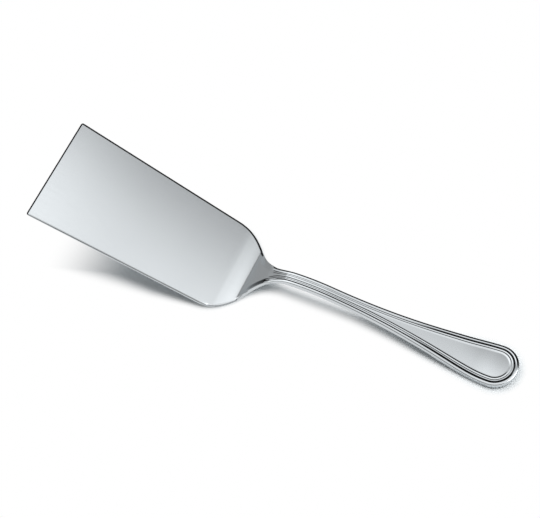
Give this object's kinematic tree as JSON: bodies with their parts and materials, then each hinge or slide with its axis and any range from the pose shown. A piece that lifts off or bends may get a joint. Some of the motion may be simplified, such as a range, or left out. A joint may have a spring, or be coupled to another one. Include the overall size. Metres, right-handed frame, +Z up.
{
  "type": "lasagna spatula",
  "caption": "Polished stainless lasagna server: a wide flat tapered blade with rounded shoulders, brazed to a cranked handle with a threaded border.",
  "frame": {"origin": "on the table, under the middle of the bounding box", "axes": "+X from the blade's front edge to the tail of the handle, +Y across the blade, +Z up; the spatula stands on its heel and its tail"},
  "size_m": [0.2636, 0.0652, 0.0358],
  "materials": {
    "blade_steel": "mirror polish with faint polishing lines",
    "handle_steel": "mirror polish",
    "braze_silver": "ground flush"
  },
  "bodies": {
    "root": {"blade": "blade_steel", "handle": "handle_steel", "braze_layer": "braze_silver"}
  },
  "joints": []
}
